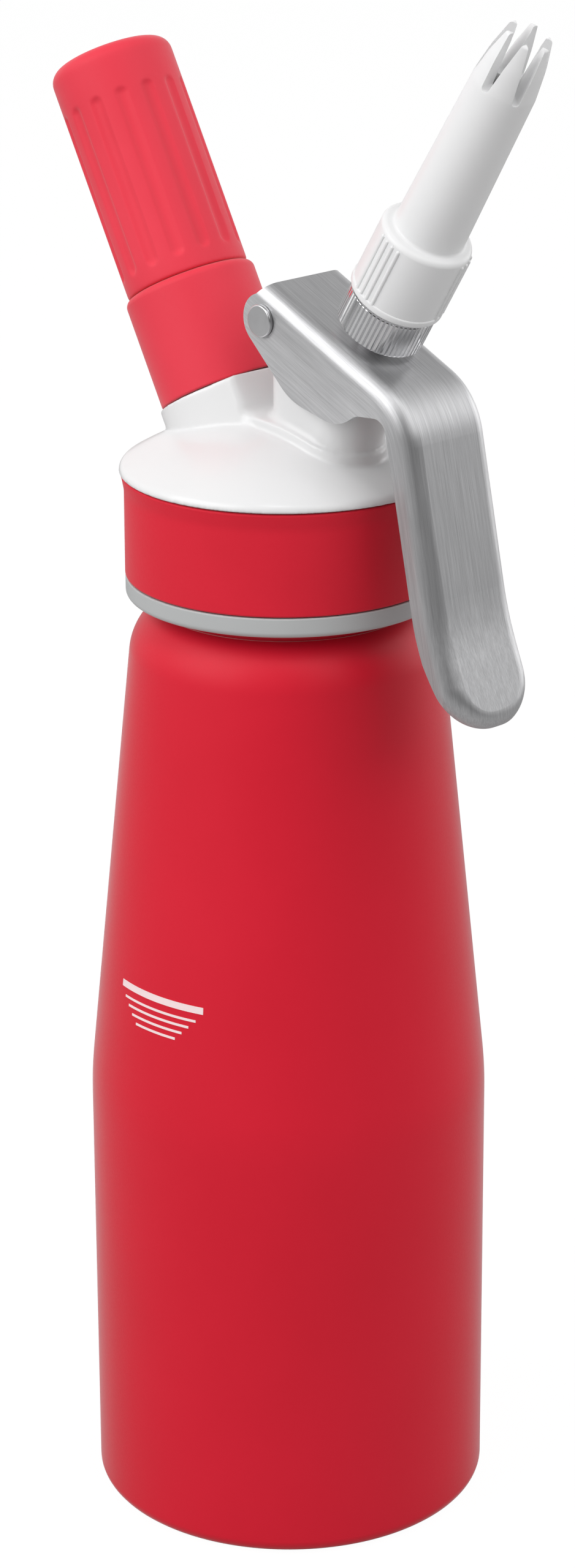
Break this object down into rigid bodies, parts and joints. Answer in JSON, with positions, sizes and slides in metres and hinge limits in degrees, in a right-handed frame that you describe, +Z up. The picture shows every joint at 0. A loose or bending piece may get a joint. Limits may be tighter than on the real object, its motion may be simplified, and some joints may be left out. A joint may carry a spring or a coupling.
{
  "type": "whipped cream dispenser",
  "caption": "Tapered metal pressure bottle with a screw-on head, a charger holder, a squeeze lever that works a sprung valve, and a tined piping tip.",
  "frame": {"origin": "centre of the bottle's foot, on the bottle's axis", "axes": "+Z up the bottle's axis, +X towards the lever and the piping tip, -X towards the charger holder"},
  "size_m": [0.1269, 0.08, 0.31],
  "materials": {
    "bottle_red": "satin red enamel",
    "head_white": "glossy white",
    "silicone_red": "matte red silicone",
    "holder_red": "satin pinkish red",
    "lever_steel": "brushed along its length",
    "pin_steel": "smooth rivet",
    "port_metal": "plated",
    "charger_steel": "zinc plated",
    "valve_steel": "turned",
    "adaptor_steel": "bright knurled",
    "tip_white": "semi-gloss white",
    "seal_white": "white silicone",
    "seal_dark": "black rubber"
  },
  "bodies": {
    "bottle": {"bottle": "bottle_red"},
    "head": {"head_cap": "head_white", "grip_band": "silicone_red", "head_gasket": "seal_white", "charge_port": "port_metal", "piercing_pin": "port_metal", "port_gasket": "seal_dark", "check_valve": "seal_dark", "valve_guide": "valve_steel", "stem_oring": "seal_dark", "pivot_pin": "pin_steel", "valve_spring": "valve_steel"},
    "lever": {"lever": "lever_steel"},
    "valve": {"valve_stem": "valve_steel", "valve_gasket": "seal_dark", "stem_collar": "valve_steel", "nozzle_adaptor": "adaptor_steel", "tip_washer": "seal_white"},
    "tip": {"decorator_tip": "tip_white"},
    "holder": {"charger_holder": "holder_red", "holder_sleeve": "holder_red", "gas_charger": "charger_steel"}
  },
  "joints": [
    {"name": "head_lift", "type": "slide", "parent": "bottle", "child": "head", "axis": [0, 0, 1], "range_m": [0, 0.075]},
    {"name": "holder_unscrew", "type": "slide", "parent": "head", "child": "holder", "axis": [-0.4833, 0, 0.8755], "range_m": [0, 0.04]},
    {"name": "lever_pivot", "type": "hinge", "parent": "head", "child": "lever", "pos_m": [0.005, 0, 0.24869], "axis": [0, 1, 0], "range_deg": [0, 10], "stiffness_Nm_per_rad": 1.5, "springref_deg": -17.19},
    {"name": "valve_slide", "type": "slide", "parent": "head", "child": "valve", "axis": [-0.5373, 0, -0.8434], "range_m": [0, 0.0026], "deforming": ["valve_spring"]},
    {"name": "tip_unscrew", "type": "slide", "parent": "valve", "child": "tip", "axis": [0.5373, 0, 0.8434], "range_m": [0, 0.025]}
  ],
  "couplings": [
    {"joint": "valve_slide", "follows": "lever_pivot", "m_per_rad": 0.0148}
  ]
}
